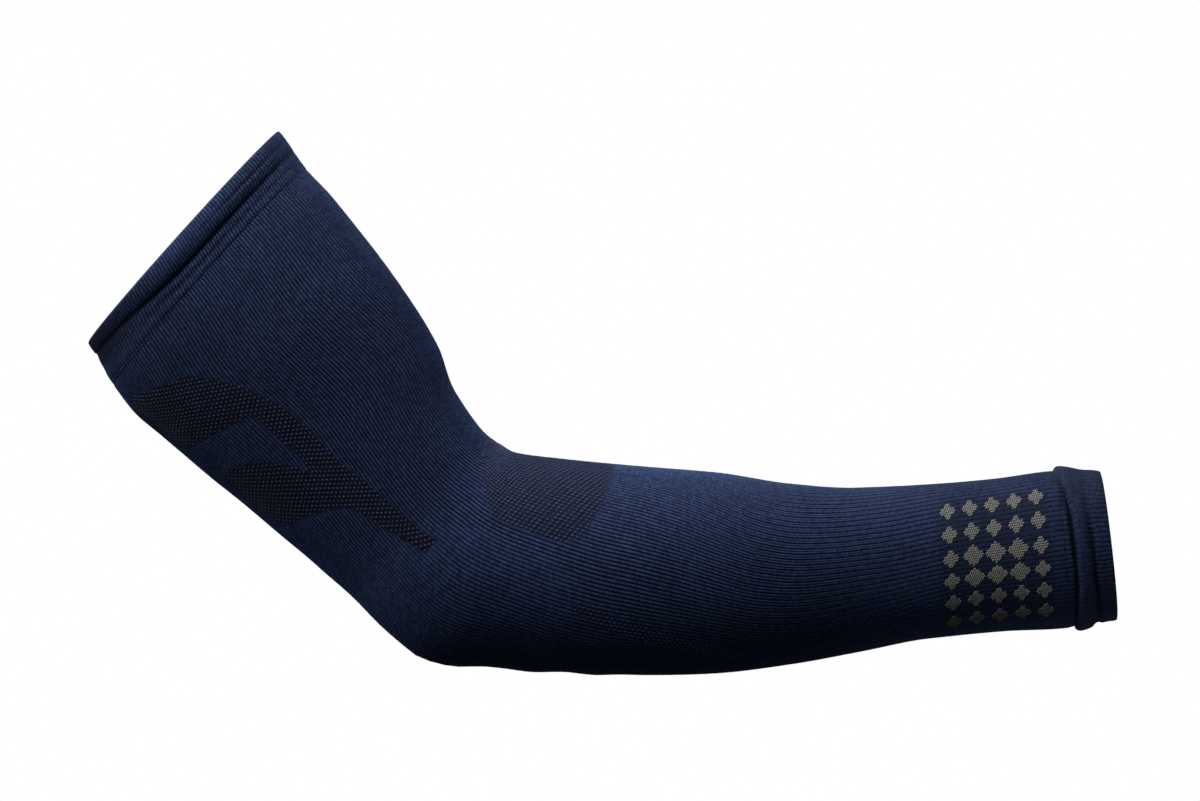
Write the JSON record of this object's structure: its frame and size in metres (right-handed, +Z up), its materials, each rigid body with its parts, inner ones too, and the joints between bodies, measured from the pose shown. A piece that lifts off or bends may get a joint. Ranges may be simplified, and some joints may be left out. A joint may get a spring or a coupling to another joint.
{
  "type": "arm compression sleeve",
  "caption": "Full-length ribbed knit compression sleeve on a bent arm, from upper arm to wrist, with a turned welt at each open end.",
  "frame": {"origin": "centre of the elbow, on the arm's axis", "axes": "+X along the forearm towards the wrist opening, +Y across the sleeve at right angles to the plane of the bend, +Z up, towards the inside of the bend"},
  "size_m": [0.3913, 0.095, 0.2067],
  "materials": {
    "ribbed_knit": "navy nylon and elastane rib knit, soft sheen",
    "welt_knit": "navy double-layer welt knit, matt"
  },
  "bodies": {
    "root": {"sleeve_body": "ribbed_knit", "upper_hem": "welt_knit", "wrist_hem": "welt_knit"}
  },
  "joints": []
}
